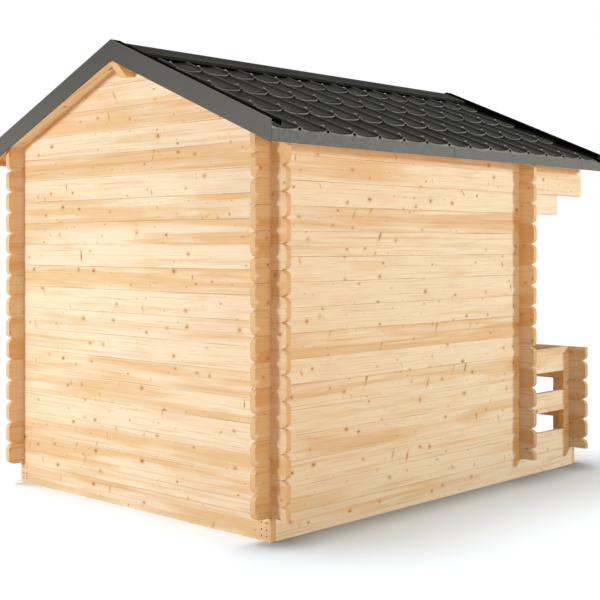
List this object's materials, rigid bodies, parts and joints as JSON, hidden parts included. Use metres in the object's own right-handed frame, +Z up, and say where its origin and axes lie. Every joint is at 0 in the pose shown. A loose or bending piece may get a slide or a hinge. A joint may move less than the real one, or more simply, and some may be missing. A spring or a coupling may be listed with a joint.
{
  "type": "outdoor sauna cabin",
  "caption": "Gabled outdoor sauna cabin of interlocking logs with scalloped corners, a railed front porch, timber skirt and dark stepped metal tile roof.",
  "frame": {"origin": "centre of the base footprint of the whole cabin, on the floor", "axes": "+Z up, -Y towards the porch front, +Y towards the rear gable, X across the ridge"},
  "size_m": [2.581, 3.261, 2.6889],
  "materials": {
    "log_timber": "pale knotty planed softwood",
    "base_timber": "planed softwood",
    "floor_timber": "planed softwood boards",
    "door_timber": "planed softwood",
    "handle_timber": "smooth turned wood",
    "roof_timber": "planed softwood boards in shade",
    "hinge_metal": "black powder coat",
    "roof_metal": "satin near-black coated steel",
    "trim_metal": "satin dark grey coated steel"
  },
  "bodies": {
    "root": {"left_side_wall": "log_timber", "right_side_wall": "log_timber", "rear_gable_wall": "log_timber", "front_gable_wall": "log_timber", "front_wall_left": "log_timber", "front_wall_right": "log_timber", "porch_return_left": "log_timber", "porch_return_right": "log_timber", "porch_post_left": "log_timber", "porch_post_right": "log_timber", "rail_cap_left": "log_timber", "rail_cap_right": "log_timber", "skirt_rear": "base_timber", "skirt_front": "base_timber", "skirt_left": "base_timber", "skirt_right": "base_timber", "skirt_middle": "base_timber", "floor_joists": "base_timber", "room_floor": "floor_timber", "porch_floor": "floor_timber", "door_frame": "door_timber", "door_leaf": "door_timber", "door_handle": "handle_timber", "door_hinges": "hinge_metal", "ridge_beam": "roof_timber", "roof_boards_left": "roof_timber", "roof_boards_right": "roof_timber", "roof_battens": "roof_timber", "rake_boards": "roof_timber", "eave_boards": "roof_timber", "roof_sheet_left": "roof_metal", "roof_sheet_right": "roof_metal", "ridge_cap": "roof_metal", "rake_trim_rear_left": "trim_metal", "rake_trim_rear_right": "trim_metal", "rake_trim_front_left": "trim_metal", "rake_trim_front_right": "trim_metal", "eave_trim_left": "trim_metal", "eave_trim_right": "trim_metal"}
  },
  "joints": []
}
